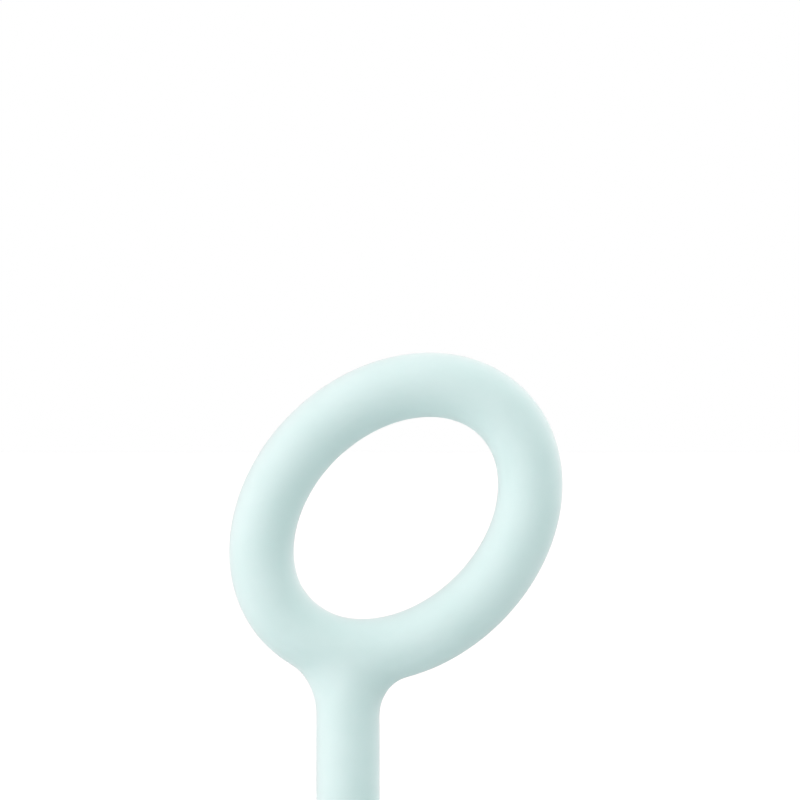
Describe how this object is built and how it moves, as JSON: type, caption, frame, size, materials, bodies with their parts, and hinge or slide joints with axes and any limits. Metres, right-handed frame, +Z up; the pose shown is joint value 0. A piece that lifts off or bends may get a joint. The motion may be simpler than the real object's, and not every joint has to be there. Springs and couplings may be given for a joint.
{
  "type": "teething ring",
  "caption": "Soft silicone teething ring: a tilted oval ring of round section blended into a straight round stem with a rounded tip, moulded over inner cores.",
  "frame": {"origin": "on the stem's axis, where the stem's straight wall meets the rounded tip", "axes": "+Z up along the stem towards the ring, -Y out of the ring's front face, +X to the right of the front face, towards the side to which the ring's centre is offset"},
  "size_m": [0.062, 0.012, 0.0906],
  "materials": {
    "silicone_skin": "soft matte",
    "silicone_tip": "soft matte",
    "flexible_core": "matte",
    "nylon_core": "satin",
    "nylon_pins": "satin"
  },
  "bodies": {
    "root": {"front_skin": "silicone_skin", "back_skin": "silicone_skin", "tip_cap": "silicone_tip", "ring_core": "flexible_core", "stem_core": "nylon_core", "cross_pins": "nylon_pins"}
  },
  "joints": []
}
